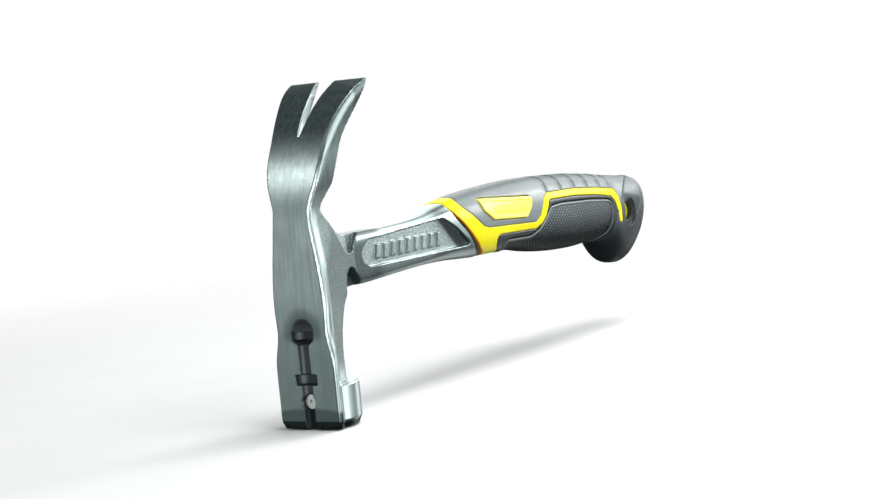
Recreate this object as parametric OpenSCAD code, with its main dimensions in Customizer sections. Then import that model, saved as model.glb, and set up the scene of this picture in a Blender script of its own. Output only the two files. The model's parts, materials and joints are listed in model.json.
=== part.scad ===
// All-steel claw hammer: one forging from striking face to tang, with a moulded two-tone grip.
// Frame: the origin is the centre of the striking face, +Z points from the face to the claw,
// and +X points along the handle to its butt.

/* [Head] */
// Height from the striking face to the tips of the claw
head_height = 147; // [142:0.5:150]
// Distance from the flat crown to the middle of the striking face
crown_reach = 13.5; // [13:0.1:14]
// Radius of the poll
poll_radius = 16; // [15.5:0.1:16.5]
// Height of the round part of the poll
poll_height = 19; // [18:0.5:19.5]
// Width of the bevel round the striking face
face_bevel = 1.6; // [0.5:0.1:2.5]
// Height where the straight crown turns into the curved claw
claw_start = 84; // [82:0.5:86]
// Radius of the crown side of the claw
claw_radius = 73; // [72:0.5:80]
// Height of the bottom of the claw's V
v_bottom = 124.6; // [118:0.2:130]
// Width of the claw's V at the tips
v_width = 8.6; // [6:0.2:12]
// How far each wall of the V steps back for each millimetre towards the rear
v_flare = 0.4; // [0:0.05:0.6]

/* [Nail starter] */
// Diameter of the shank groove in the crown
groove_d = 5.4; // [3:0.1:6]
// Diameter of the two nail-head pockets
pocket_d = 11; // [8:0.1:12]
// Diameter of the magnet
magnet_d = 7; // [5:0.1:8]
// Length of the magnet
magnet_length = 8; // [5:0.5:12]
// Height of the magnet above the striking face
magnet_z = 11.7; // [8:0.1:14]

/* [Neck and tang] */
// Depth of the long recess in each side of the neck
neck_recess = 2.4; // [1:0.1:3]
// Height of the raised bars in the recess
bar_height = 1.2; // [0.5:0.1:1.6]
// Number of raised bars in the recess
bar_count = 9; // [5:1:10]
// Thickness of the tang inside the grip
tang_thickness = 9; // [6:0.5:10]
// Far end of the tang
tang_end = 262; // [255:1:263]
// Diameter of the two holes that lock the core to the tang
lock_hole_d = 8; // [5:0.5:10]
// Height of the slot that splits the end of the tang
fork_slot = 5; // [3:0.5:6]

/* [Grip] */
// Half width of the rigid core under the soft skin
core_half_width = 9.5; // [8:0.5:10]
// Least thickness of the soft skin above and below the core
skin = 4.5; // [3.5:0.1:6]
// How far the badges stand out of the back shell
badge_rise = 0.8; // [0.3:0.1:1.2]
// Diameter of the lanyard hole
lanyard_d = 10.4; // [8:0.2:11]
// Distance from the crown side of the frame to the lanyard hole
lanyard_x = 281.8; // [280:0.2:284]
// Height of the lanyard hole
lanyard_z = 63.4; // [62:0.2:66]

/* [Hidden] */
$fn = 64;
steel = "#9aa09e";
yellow = "#f2dd10";
shell_grey = "#8d999b";
dark_grey = "#3c4244";
eps = 0.01;
far = 60;

// Height of the bevel round the striking face, and of the place where the cheeks end
bevel_height = 3.5;
claw_root_z = 97;

// Side outline of the head, from the heel of the face round to the neck: x, z
claw_end_angle = asin((head_height - claw_start) / claw_radius);
claw_centre_x = claw_radius - crown_reach;
crown_curve = [for (i = [0:12]) let (a = claw_end_angle * i / 12)
  [claw_centre_x - claw_radius * cos(a), claw_start + claw_radius * sin(a)]];
claw_rear = [[25, head_height + 0.5], [16.5, 133.3], [8.8, 122.8], [4.1, 111], [2.2, 104],
  [-0.8, 99.7], [-4, 95.5], [-4.3, 92.5], [-2, 89.5], [4, 84.5], [10, 81], [19, 80]];
neck_root = [[28, 80], [28, 57.2], [17, 56.5], [12, 54], [8.5, 50], [6, 44.5], [4, 38], [3, 30], [3.3, 22],
  [4, 0]];
// Half width of the cheeks behind the crown: x, y
cheek_widths = [[-20, 18.5], [-13.5, 16.1], [-1.5, 11.3], [3, 9], [12, 8.4], [30, 7.3]];

// Half width of the crown at each height: z, y
crown_widths = [[0, 14.4], [bevel_height, 16], [28, 16], [35, 14.8], [41, 13.5], [52, 14], [60, 13.7],
  [70, 12.6], [80, 11.2], [88, 10.2], [93, 10], [96, 10.5], [100, 11.7], [105, 13.3], [112, 14.3],
  [121, 15], [128, 16], [134.4, 17.2], [141, 18.9], [147, 20]];

// Sections of the neck and of the grip: x, bottom, top, half width, squareness
neck_sections = [[13, 57.5, 80, 7.8, 5], [30, 57, 80.2, 7.4, 5], [55, 58, 80.4, 7.8, 4.5],
  [80, 58.8, 82, 9.2, 4], [98, 58.4, 85.4, 11.5, 3], [114, 57.4, 87.3, 13.1, 2.7],
  [127, 56.6, 88.2, 13.6, 2.5]];
grip_sections = [[96, 58.6, 85.4, 12.2, 2.4], [105, 57.8, 87, 13.2, 2.4], [125, 57, 89, 14, 2.5],
  [150, 56.5, 90.3, 14.2, 2.5], [165, 55.6, 90.8, 14.5, 2.5], [180, 53, 90.8, 15, 2.5],
  [200, 50.8, 90.3, 15.5, 2.5], [225, 49.7, 89.2, 15.2, 2.4], [242, 50.2, 87.7, 14.6, 2.4],
  [251, 50.1, 86.9, 14.2, 2.4], [257, 48.8, 86.1, 13.9, 2.4], [262, 44.8, 85.5, 13.6, 2.4],
  [268, 37.6, 84.8, 13.4, 2.4], [275, 35.3, 84, 13.2, 2.5], [283, 36.4, 83.2, 13, 2.5],
  [291, 40.8, 82.4, 12.5, 2.5], [298, 47, 81.6, 11.8, 2.5], [304, 55, 80, 10, 2.4],
  [307.5, 62, 77.6, 7, 2.3], [309, 68, 72.8, 2.5, 2.2]];
// Rings are closer together where the hook turns down and where the butt rounds off
grip_stations = [96, for (x = [104:8:240]) x, 247, 251, 254, for (x = [257:2.5:267]) x, 271, 276, 282,
  287, 292, 297, 301, 304, 306.5, 308, 309];
neck_stations = [for (x = [13:9.5:127]) x];

// Side outlines of the moulded pieces: x, z
collar_front = [[108.5, 100], [108.5, 88.2], [106.5, 87.2], [103.6, 86.5], [100.6, 85.6], [98.6, 83.4],
  [101, 79], [105.4, 74.8], [110.1, 70.3], [114.8, 66.1], [120.4, 61.8], [129, 57], [136, 50], [136, 30]];
neck_end = [[133, 30], [132, 50], [125, 57.2], [116.8, 61.6], [112.8, 65.8], [109.8, 69.8], [105.1, 74.3],
  [100.5, 78.8], [98.2, 83.3], [100.2, 86], [103.3, 86.9], [106.2, 87.6], [108.1, 88.5], [108.1, 100]];
yellow_belly = [[147, 30], [147, 56], [141, 58.5], [136.6, 61], [134.8, 64.4], [137, 66.3], [172, 65.2]];
stripe_under = [[178, 67.5], [182, 71], [187, 78.5], [214, 78], [240, 76], [258, 73.5], [262.5, 71],
  [265.5, 65], [266.3, 58.3]];
stripe_over = [[269.6, 58.3], [269.8, 67], [268.3, 73.5], [264.5, 77], [241, 79.5], [215, 81.5], [186, 82],
  [182, 79.5], [177, 71.5], [172, 68.5]];
collar_back = [[146, 69.8], [127, 70.6], [122, 71.9], [117.2, 75.3], [112.3, 79.2], [108.3, 82.3], [107, 85],
  [110.5, 88], [111, 100]];
cap_seam = [[249, 30], [249, 49], [253.5, 50.3], [257.3, 52.5], [259.2, 56.5], [262.9, 63], [270.1, 69],
  [277.9, 76], [283, 78.8], [289, 80.7], [297, 82], [299, 100]];
pad_outline = [[149, 30], [149, 56], [146, 58], [145, 60.5], [147, 62.6], [168, 62], [175, 64.5], [182, 70],
  [188, 75], [198, 75.5], [231, 74], [253, 72], [257, 70.5], [258.2, 66], [258.4, 62], [257.3, 57.5],
  [255.2, 53.4], [251.5, 50.8], [247.5, 49], [247.5, 30]];
badge_outline = [[121.5, 85.3], [168, 82], [169.3, 80.5], [167.8, 76.8], [162.5, 71.9], [131, 74.1],
  [123.5, 79]];
hole_recess = [[274.5, 74.3], [296.5, 69.2], [293.5, 64.5], [288, 60.3], [282.5, 55.9], [277, 54.8],
  [274, 58]];
tail_outline = [[250, 58], [290, 56], [294, 64], [290, 74], [250, 76]];
stripe_middle = [[143, 68], [172, 66.8], [178, 69.5], [182, 74], [186.5, 80], [214, 79.8], [240, 77.8],
  [262, 75], [267, 71.5], [268, 66.5]];
recess_outline = [[33, 64], [108, 64.3], [111, 65], [101, 73.5], [92, 79.5], [33, 76], [28.5, 73],
  [26.5, 70], [27.5, 67]];

// Nail starter
lower_pocket_z = 19;
upper_pocket_z = 36;
magnet_face_x = -crown_reach + groove_d / 2 - 0.7;

// Neck recess: floor at its narrow end, and pitch of the bars
recess_floor = 7.5 - neck_recess;
bar_pitch = 54 / bar_count;

// Tang
tang_start = 95;
tang_height = 17;
tang_mid_z = 71.5;
fork_start = 215;
lock_hole_xs = [150, 190];

// Grooves across the spine
first_rib_x = 178;
rib_count = 6;
rib_pitch = 15.4;
rib_radius = 17;
rib_depth = 1.3;

// How far the ring and the pad lie under the surface of the grip, and half width at the hole's recess
ring_inset = 0.4;
pad_inset = 0.4;
hole_recess_y = 12;

// Smooth curve through the sections: value of column k at x
function section_at(table, x, k) =
  let (n = len(table) - 1,
       i = min(n - 1, max([0, for (j = [0:n - 1]) if (table[j][0] <= x) j])),
       before = table[max(i - 1, 0)], p = table[i], q = table[i + 1], after = table[min(i + 2, n)],
       span = q[0] - p[0],
       t = (x - p[0]) / span,
       slope_p = (q[k] - before[k]) / (q[0] - before[0]) * span,
       slope_q = (after[k] - p[k]) / (after[0] - p[0]) * span)
  (2 * t^3 - 3 * t^2 + 1) * p[k] + (t^3 - 2 * t^2 + t) * slope_p
    + (3 * t^2 - 2 * t^3) * q[k] + (t^3 - t^2) * slope_q;

function signed_power(v, p) = sign(v) * pow(abs(v), p);

// One rounded section of a loft, as a ring of points
function section_ring(table, x, grow, sides) =
  let (bottom = section_at(table, x, 1) - grow, top = section_at(table, x, 2) + grow,
       half = section_at(table, x, 3) + grow, power = 2 / section_at(table, x, 4))
  [for (j = [0:sides - 1]) let (a = 360 * j / sides)
    [x, half * signed_power(cos(a), power),
     (bottom + top) / 2 + (top - bottom) / 2 * signed_power(sin(a), power)]];

// Solid through the rings at the given x positions
module loft(table, stations, grow = 0, sides = 28) {
  count = len(stations);
  points = [for (x = stations) each section_ring(table, x, grow, sides)];
  skin_faces = [for (i = [0:count - 2], j = [0:sides - 1])
    let (a = i * sides + j, b = i * sides + (j + 1) % sides) each
    [[a, b + sides, b], [a, a + sides, b + sides]]];
  first = [for (j = [0:sides - 1]) j];
  last = [for (j = [0:sides - 1]) count * sides - 1 - j];
  polyhedron(points, [first, each skin_faces, last], convexity = 6);
}

// Prism of a side outline, across the whole width
module side_prism(outline, width = far) {
  rotate([90, 0, 0]) linear_extrude(width, center = true) polygon(outline);
}

module grip_envelope(grow = 0) {
  loft(grip_sections, grip_stations, grow);
}

// Part of the grip inside one side outline
module grip_part(outline, grow = 0) {
  intersection() {
    grip_envelope(grow);
    side_prism(outline);
  }
}

// Side outline of the rigid core
function core_outline() = concat(
  [for (x = [112:10:252]) [x, section_at(grip_sections, x, 1) + skin]],
  [for (x = [252:-10:112]) [x, section_at(grip_sections, x, 2) - skin]]);

// Rigid core without the holes for the tang and the lanyard
module core_block() {
  side_prism(core_outline(), 2 * core_half_width);
  side_prism(tail_outline, 15);
}

// Collar, belly and stripe in one outline
function yellow_outline() = concat(collar_front, yellow_belly, stripe_under, stripe_over, collar_back);
// The stripe parts the skin: behind it is the back shell, in front of it the grip frame
function back_outline() = concat(
  [[109.8, 100], [109.8, 88.1], [106, 85.8], [104, 84], [110, 77.6], [124, 69]],
  stripe_middle,
  [for (i = [6:11]) cap_seam[i]]);
function front_outline() = concat([[130, 30], [130, 60], [138, 68]], [for (i = [1:9]) stripe_middle[i]],
  [for (i = [5:-1:0]) cap_seam[i]]);
function cap_outline() = concat(cap_seam, [[320, 100], [320, 30]]);

// Flat tang with two lock holes and a slot that makes a fork of its end
module tang() {
  difference() {
    translate([tang_start, -tang_thickness / 2, tang_mid_z - tang_height / 2])
      cube([tang_end - tang_start, tang_thickness, tang_height]);
    fork_gap();
    for (x = lock_hole_xs) translate([x, 0, tang_mid_z]) rotate([90, 0, 0])
      cylinder(h = 20, d = lock_hole_d, center = true);
  }
}

module fork_gap() {
  translate([fork_start, -tang_thickness / 2, tang_mid_z - fork_slot / 2])
    cube([tang_end - fork_start, tang_thickness, fork_slot]);
}

module poll() {
  intersection() {
    translate([crown_reach - poll_radius, 0, 0]) {
      cylinder(h = bevel_height, r1 = poll_radius - face_bevel, r2 = poll_radius);
      translate([0, 0, bevel_height]) cylinder(h = poll_height - bevel_height, r = poll_radius);
    }
    translate([-crown_reach + face_bevel, -far / 2, 0]) cube(far);
  }
}

// An open outline followed by its mirror image, which closes it
function both_sides(half, flip) = concat(half,
  [for (i = [len(half) - 1:-1:0]) [half[i][0] * flip[0], half[i][1] * flip[1]]]);

// Head above the poll: its side, front and plan outlines, crossed
module head_block() {
  intersection() {
    side_prism(concat([[-crown_reach + face_bevel, 0], [-crown_reach, bevel_height]], crown_curve, claw_rear,
      neck_root));
    rotate([90, 0, 90]) linear_extrude(2 * far, center = true)
      polygon(both_sides([for (p = crown_widths) [p[1], p[0]]], [-1, 1]));
    union() {
      linear_extrude(claw_root_z) polygon(both_sides(cheek_widths, [1, -1]));
      translate([-far, -far, claw_root_z]) cube(2 * far);
    }
  }
}

// Place of the crown's curve at a height
function crown_x(z) = claw_radius - crown_reach - sqrt(pow(claw_radius, 2) - pow(z - claw_start, 2));

// Nail slot: it leans back with the claw and opens out towards the rear
module claw_v() {
  hull() {
    for (z = [v_bottom, head_height + 6], depth = [-3, 14]) slot_bar(z, depth);
  }
}

// Thin bar across the slot at one height, so far behind the straight line along the crown
module slot_bar(z, depth) {
  rise = (z - v_bottom) / (head_height - v_bottom);
  line_x = crown_x(v_bottom) + rise * (crown_x(head_height) - crown_x(v_bottom));
  half = max(0.1, 0.2 + rise * (v_width / 2 - 0.2) + depth * v_flare);
  translate([line_x + depth, -half, z]) cube([0.1, 2 * half, 0.1]);
}

// Groove for a nail's shank, with a pocket for its head at each of two heights
module nail_groove() {
  translate([-crown_reach, 0, -eps]) {
    cylinder(h = upper_pocket_z, d = groove_d);
    translate([0, 0, lower_pocket_z]) cylinder(h = 4.5, d = pocket_d);
    translate([0, 0, upper_pocket_z]) cylinder(h = 6, d = pocket_d);
  }
}

module magnet_bore() {
  translate([-far, 0, magnet_z]) rotate([0, 90, 0])
    cylinder(h = far + magnet_face_x + magnet_length, d = magnet_d);
}

// Space outside a plane that follows the taper of the neck, at distance y from its middle at x = 24
module outside_neck_plane(y) {
  translate([0, 0, 50]) linear_extrude(45) polygon([[24, y], [114, y + 3.6], [114, far], [24, far]]);
}

module recess_bar(i) {
  translate([38 + i * bar_pitch, 0, 0])
    side_prism([[0, 66.5], [3.4, 66.5], [5, 73.5], [1.6, 73.5]], 3 * far);
}

// Long recess in one side of the neck, with a row of slanted raised bars on its floor
module neck_recess(side) {
  mirror([0, side > 0 ? 0 : 1, 0]) {
    intersection() {
      side_prism(recess_outline, 3 * far);
      outside_neck_plane(recess_floor + bar_height);
    }
    difference() {
      intersection() {
        side_prism(recess_outline, 3 * far);
        outside_neck_plane(recess_floor);
      }
      for (i = [0:bar_count - 1]) recess_bar(i);
    }
  }
}

// One forging: head, claw, neck and the tang that the grip is moulded on
module forged_body() {
  color(steel) {
    difference() {
      union() {
        poll();
        head_block();
        intersection() {
          loft(neck_sections, neck_stations, 0, 24);
          side_prism(concat([[0, 30]], neck_end, [[0, 100]]));
        }
      }
      claw_v();
      nail_groove();
      magnet_bore();
      for (side = [-1, 1]) neck_recess(side);
    }
    tang();
  }
}

module nail_magnet() {
  color("#d4d6d4") difference() {
    translate([magnet_face_x, 0, magnet_z]) rotate([0, 90, 0]) cylinder(h = magnet_length, d = magnet_d);
    translate([magnet_face_x - 1, 0, magnet_z]) rotate([0, 90, 0]) cylinder(h = 1.6, d = 1.4);
  }
}

// Soft tongue that fills the slot in the end of the tang and damps its ringing
module tang_damper() {
  color(dark_grey) translate([fork_start, -tang_thickness / 2, tang_mid_z - fork_slot / 2])
    cube([tang_end - fork_start, tang_thickness, fork_slot]);
}

// Soft ring between the end of the neck and the front of the core
module shock_ring() {
  color("#2a2c2e") difference() {
    grip_part(concat(collar_front, neck_end), -ring_inset);
    tang();
  }
}

// Rigid core: collar, stripe and tail ring are seen, the rest is under the soft skin
module core_sleeve() {
  color(yellow) difference() {
    union() {
      grip_part(yellow_outline());
      core_block();
    }
    tang();
    fork_gap();
    lanyard_bore();
  }
}

module lanyard_bore() {
  translate([lanyard_x, 0, lanyard_z]) rotate([90, 0, 0]) cylinder(h = far, d = lanyard_d, center = true);
}

// Skin of the grip inside one side outline, with the core and the stripe taken out
module skin_part(outline) {
  difference() {
    grip_part(outline);
    core_block();
    side_prism(yellow_outline());
  }
}

// Soft shell over the back of the grip, with crescent ribs cut into its spine
module back_shell() {
  color(shell_grey) difference() {
    skin_part(back_outline());
    for (side = [-1, 1]) badge_socket(side);
    for (i = [0:rib_count - 1]) rib_cut(first_rib_x + i * rib_pitch);
  }
}

// Shallow slanted groove across the spine
module rib_cut(x) {
  translate([x, 0, section_at(grip_sections, x, 2) + rib_radius - rib_depth]) rotate([0, 72, 0])
    cylinder(h = 2.2, r = rib_radius, center = true);
}

// Smooth border round the finger pad
module grip_frame() {
  color(dark_grey) difference() {
    skin_part(front_outline());
    side_prism(pad_outline);
  }
}

module finger_pad() {
  color("#4b5254") difference() {
    grip_part(pad_outline, -pad_inset);
    core_block();
  }
}

// Space that a badge takes up in the back shell
module badge_socket(side) {
  translate([0, side * (core_half_width + far / 2), 0]) side_prism(badge_outline);
}

module badge(side) {
  color(yellow) intersection() {
    grip_envelope(badge_rise);
    badge_socket(side);
  }
}

module badge_left() { badge(-1); }
module badge_right() { badge(1); }

// Hooked end of the grip, with the lanyard hole in a shallow recess on each side
module butt_cap() {
  color("#555c5e") difference() {
    skin_part(cap_outline());
    lanyard_bore();
    for (side = [-1, 1]) translate([0, side * (hole_recess_y + far / 2), 0]) side_prism(hole_recess);
  }
}

forged_body();
nail_magnet();
tang_damper();
shock_ring();
core_sleeve();
back_shell();
grip_frame();
finger_pad();
badge_left();
badge_right();
butt_cap();
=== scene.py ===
"""An all-steel claw hammer with a moulded two-tone grip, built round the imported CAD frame.

Each visible piece is written as a distance field in millimetres: outlines, sections and planes
that are crossed with rounded edges. surface_net() turns a field into a closed mesh of quads, and
settle() then moves its points onto the exact surface.
"""
import json
import math
import bpy
import numpy as np
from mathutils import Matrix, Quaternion, Vector

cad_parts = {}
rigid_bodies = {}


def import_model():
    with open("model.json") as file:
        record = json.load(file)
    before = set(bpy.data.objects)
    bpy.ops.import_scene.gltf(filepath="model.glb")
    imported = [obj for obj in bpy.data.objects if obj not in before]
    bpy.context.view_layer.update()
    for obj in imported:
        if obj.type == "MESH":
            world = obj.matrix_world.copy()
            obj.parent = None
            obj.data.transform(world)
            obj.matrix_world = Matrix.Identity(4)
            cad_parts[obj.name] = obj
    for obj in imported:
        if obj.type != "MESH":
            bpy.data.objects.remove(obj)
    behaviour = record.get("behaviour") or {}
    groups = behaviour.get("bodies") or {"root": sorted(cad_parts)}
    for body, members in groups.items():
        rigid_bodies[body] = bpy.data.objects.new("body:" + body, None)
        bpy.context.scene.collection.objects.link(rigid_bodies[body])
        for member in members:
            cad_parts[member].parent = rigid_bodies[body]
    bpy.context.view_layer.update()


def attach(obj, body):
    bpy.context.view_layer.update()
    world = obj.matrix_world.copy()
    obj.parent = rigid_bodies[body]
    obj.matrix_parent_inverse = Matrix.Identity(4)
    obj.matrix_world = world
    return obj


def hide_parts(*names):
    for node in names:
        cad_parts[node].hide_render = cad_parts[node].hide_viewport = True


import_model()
MM = 0.001

# ------------ camera
# The photograph's viewpoint, in metres: beside the striking face and a little above the handle.
CAMERA_PLACE = (-0.64327, -0.47457, 0.13479)
CAMERA_TARGET = (0.10241, 0.0, 0.06348)
CAMERA_ROLL = math.radians(-5.626)
CAMERA_LENS = 76.19


def add_aimed(name, data, place, target, roll=0.0):
    """Camera or light that stands at a place and looks at a target."""
    thing = bpy.data.objects.new(name, data)
    thing.location = place
    look = Vector(target) - Vector(place)
    thing.rotation_mode = "QUATERNION"
    thing.rotation_quaternion = look.to_track_quat("-Z", "Y") @ Quaternion((0, 0, 1), roll)
    bpy.context.collection.objects.link(thing)
    return thing


def add_camera():
    data = bpy.data.cameras.new("camera")
    data.lens = CAMERA_LENS
    data.sensor_width = 36.0
    data.clip_start = 0.01
    data.clip_end = 50.0
    bpy.context.scene.camera = add_aimed("camera", data, CAMERA_PLACE, CAMERA_TARGET, CAMERA_ROLL)


# ------------ fields
def round_both(a, b, radius):
    """Intersection of two fields, with a rounded edge."""
    u = np.maximum(a + radius, 0)
    v = np.maximum(b + radius, 0)
    return np.minimum(-radius, np.maximum(a, b)) + np.hypot(u, v)


def round_either(a, b, radius):
    """Union of two fields, with a filleted joint."""
    return -round_both(-a, -b, radius)


def cut(a, b, radius):
    """Field a without field b, with a rounded edge."""
    return round_both(a, -b, radius)


def ease(value, low, high):
    """Smooth step from 0 at low to 1 at high."""
    t = np.clip((value - low) / (high - low), 0, 1)
    return t * t * (3 - 2 * t)


def slab(value, low, high):
    """Distance to the layer between low and high."""
    return np.maximum(low - value, value - high)


def polygon_distance(points, a, b):
    """Signed distance to a closed polygon, negative inside."""
    shape = np.broadcast(a, b).shape
    nearest = np.full(shape, 1e9, np.float32)
    inside = np.zeros(shape, bool)
    for (a0, b0), (a1, b1) in zip(points, np.roll(points, -1, axis=0)):
        da, db = a1 - a0, b1 - b0
        length = da * da + db * db
        if length < 1e-9:
            continue
        wa, wb = a - a0, b - b0
        t = np.clip((wa * da + wb * db) / length, 0, 1)
        nearest = np.minimum(nearest, (wa - t * da) ** 2 + (wb - t * db) ** 2)
        if db != 0:
            crosses = (b0 <= b) != (b1 <= b)
            inside ^= crosses & (a < a0 + wb * (da / db))
    return np.where(inside, -1, 1) * np.sqrt(nearest)


class Outline:
    """Signed distance to a closed outline, kept in a fine table and read back bilinearly."""

    cell = 0.25

    def __init__(self, points, low, high):
        self.low = low
        counts = [int((high[k] - low[k]) / self.cell) + 2 for k in range(2)]
        a = (low[0] + self.cell * np.arange(counts[0])).astype(np.float32)[:, None]
        b = (low[1] + self.cell * np.arange(counts[1])).astype(np.float32)[None, :]
        self.table = polygon_distance(np.array(points, np.float32), a, b).astype(np.float32)

    def __call__(self, a, b):
        u = np.clip((a - self.low[0]) / self.cell, 0, self.table.shape[0] - 1.001)
        v = np.clip((b - self.low[1]) / self.cell, 0, self.table.shape[1] - 1.001)
        i, j = u.astype(np.int32), v.astype(np.int32)
        u, v = u - i, v - j
        table = self.table
        return ((1 - u) * ((1 - v) * table[i, j] + v * table[i, j + 1])
                + u * ((1 - v) * table[i + 1, j] + v * table[i + 1, j + 1]))


def flow(points, steps=6):
    """Smooth curve through the points (Catmull-Rom)."""
    points = np.array(points, float)
    padded = np.vstack([2 * points[0] - points[1], points, 2 * points[-1] - points[-2]])
    curve = []
    for k in range(len(points) - 1):
        before, start, end, after = padded[k:k + 4]
        for t in np.arange(steps) / steps:
            curve.append(0.5 * (2 * start + (end - before) * t
                                + (2 * before - 5 * start + 4 * end - after) * t ** 2
                                + (3 * start - before - 3 * end + after) * t ** 3))
    curve.append(points[-1])
    return [tuple(p) for p in curve]


def filleted(points, radius, steps=5):
    """Closed outline with its corners rounded, as far as the sides next to them allow."""
    points = np.array(points, float)
    result = []
    for k, corner in enumerate(points):
        back = points[k - 1] - corner
        on = points[(k + 1) % len(points)] - corner
        back_length, on_length = np.hypot(*back), np.hypot(*on)
        back, on = back / back_length, on / on_length
        half = math.acos(max(-1.0, min(1.0, float(back @ on)))) / 2
        reach = min(radius / math.tan(half), 0.45 * back_length, 0.45 * on_length)
        start, end = corner + back * reach, corner + on * reach
        for t in np.linspace(0, 1, steps):
            result.append((1 - t) ** 2 * start + 2 * t * (1 - t) * corner + t ** 2 * end)
    return result


class Loft:
    """Distance to a solid through rounded sections: x, bottom, top, half width, squareness."""

    def __init__(self, sections):
        table = np.array(sections, float)
        stations = table[:, 0]
        self.x = np.arange(stations[0], stations[-1] + 0.05, 0.1)
        tangents = np.gradient(table, axis=0) / np.gradient(stations)[:, None]
        index = np.clip(np.searchsorted(stations, self.x, side="right") - 1, 0, len(stations) - 2)
        span = (stations[index + 1] - stations[index])[:, None]
        t = (self.x[:, None] - stations[index][:, None]) / span
        values = ((2 * t ** 3 - 3 * t ** 2 + 1) * table[index]
                  + (t ** 3 - 2 * t ** 2 + t) * tangents[index] * span
                  + (3 * t ** 2 - 2 * t ** 3) * table[index + 1]
                  + (t ** 3 - t ** 2) * tangents[index + 1] * span)
        bottom, top, half, power = values[:, 1:].T
        self.columns = [(bottom + top) / 2, (top - bottom) / 2, half, power]
        self.slopes = [np.gradient(column, self.x) for column in self.columns]

    def section(self, x):
        return [np.interp(x, self.x, column).astype(np.float32) for column in self.columns]

    def __call__(self, x, y, z):
        middle, height, half, power = self.section(x)
        middle_slope, height_slope, half_slope, _ = [
            np.interp(x, self.x, slope).astype(np.float32) for slope in self.slopes]
        u = np.abs(y) / half + 1e-5
        v = np.abs(z - middle) / height + 1e-5
        u_power, v_power = u ** (power - 1), v ** (power - 1)
        total = u_power * u + v_power * v
        level = total ** (1 / power)
        scale = level / total
        along = scale * (-u_power * u * half_slope / half - v_power
                         * (np.sign(z - middle) * middle_slope + v * height_slope) / height)
        steepness = np.sqrt((scale * u_power / half) ** 2 + (scale * v_power / height) ** 2
                            + along ** 2)
        return (level - 1) / np.maximum(steepness, 1e-3)


# ------------ meshes
AXES = np.eye(3, dtype=np.int64)
SQUARE = ((0, 0), (1, 0), (1, 1), (0, 1))


def surface_net(values, low, step):
    """Closed quad mesh of the surface where the sampled field is zero."""
    inside = values < 0
    corners = sum(inside[dx:dx - 1 or None, dy:dy - 1 or None, dz:dz - 1 or None].astype(np.int8)
                  for dx in (0, 1) for dy in (0, 1) for dz in (0, 1))
    mixed = (corners > 0) & (corners < 8)
    cells = np.argwhere(mixed)
    number = np.full(mixed.shape, -1, np.int64)
    number[mixed] = np.arange(len(cells))
    total = np.zeros((len(cells), 3))
    hits = np.zeros(len(cells))
    for axis in range(3):
        others = [AXES[(axis + 1) % 3], AXES[(axis + 2) % 3]]
        for p, q in SQUARE:
            start = p * others[0] + q * others[1]
            here = values[tuple((cells + start).T)]
            there = values[tuple((cells + start + AXES[axis]).T)]
            crosses = (here < 0) != (there < 0)
            t = np.where(crosses, here / np.where(crosses, here - there, 1), 0)
            total += crosses[:, None] * (start + t[:, None] * AXES[axis])
            hits += crosses
    points = (cells + total / hits[:, None]) * step + low
    quads = []
    for axis in range(3):
        u, v = (axis + 1) % 3, (axis + 2) % 3
        first = [slice(1, -1)] * 3
        second = [slice(1, -1)] * 3
        first[axis], second[axis] = slice(0, -1), slice(1, None)
        a, b = inside[tuple(first)], inside[tuple(second)]
        edges = np.argwhere(a != b)
        outward = a[tuple(edges.T)]
        edges = edges + AXES[u] + AXES[v]
        ring = [edges - AXES[u] - AXES[v], edges - AXES[v], edges, edges - AXES[u]]
        quad = np.stack([number[tuple(corner.T)] for corner in ring], axis=1)
        quad[~outward] = quad[~outward][:, ::-1]
        quads.append(quad)
    return points, np.vstack(quads)


def untangle(values):
    """Flips the weakest sample of every square of samples whose signs sit crosswise."""
    for first, second in ((0, 1), (1, 2), (2, 0)) * 3:
        inside = values < 0
        corners = []
        for a, b in SQUARE:
            part = [slice(None)] * 3
            part[first] = slice(a, a - 1 or None)
            part[second] = slice(b, b - 1 or None)
            corners.append(inside[tuple(part)])
        crossed = (corners[0] == corners[2]) & (corners[1] == corners[3])
        crossed &= corners[0] != corners[1]
        for place in np.argwhere(crossed):
            spots = [tuple(place + a * AXES[first] + b * AXES[second]) for a, b in SQUARE]
            weakest = min(spots, key=lambda spot: abs(values[spot]))
            values[weakest] = -values[weakest]


def gradient(field, points, reach=0.14):
    x, y, z = points.T
    return np.stack([field(x + reach, y, z) - field(x - reach, y, z),
                     field(x, y + reach, z) - field(x, y - reach, z),
                     field(x, y, z + reach) - field(x, y, z - reach)], axis=1) / (2 * reach)


def unit(vectors):
    return vectors / np.maximum(np.linalg.norm(vectors, axis=1), 1e-6)[:, None]


def settle(field, points, step, rounds=3):
    """Moves the points onto the surface, along the slope of the field."""
    for _ in range(rounds):
        slope = gradient(field, points)
        square = np.maximum((slope ** 2).sum(axis=1), 0.3)
        move = np.clip(field(*points.T) / square, -0.5 * step, 0.5 * step)
        points = points - move[:, None] * slope
    return points


def new_mesh_object(name, points, faces, normals=None, attributes=None):
    """Object from points in mm and a list of faces."""
    mesh = bpy.data.meshes.new(name)
    mesh.from_pydata((points * MM).tolist(), [], faces)
    mesh.validate()
    mesh.polygons.foreach_set("use_smooth", np.ones(len(mesh.polygons), bool))
    for label, values in (attributes or {}).items():
        layer = mesh.attributes.new(label, "FLOAT", "POINT")
        layer.data.foreach_set("value", np.asarray(values, np.float32))
    if normals is not None:
        mesh.normals_split_custom_set_from_vertices([tuple(n) for n in normals])
    piece = bpy.data.objects.new(name, mesh)
    bpy.context.collection.objects.link(piece)
    return piece


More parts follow.
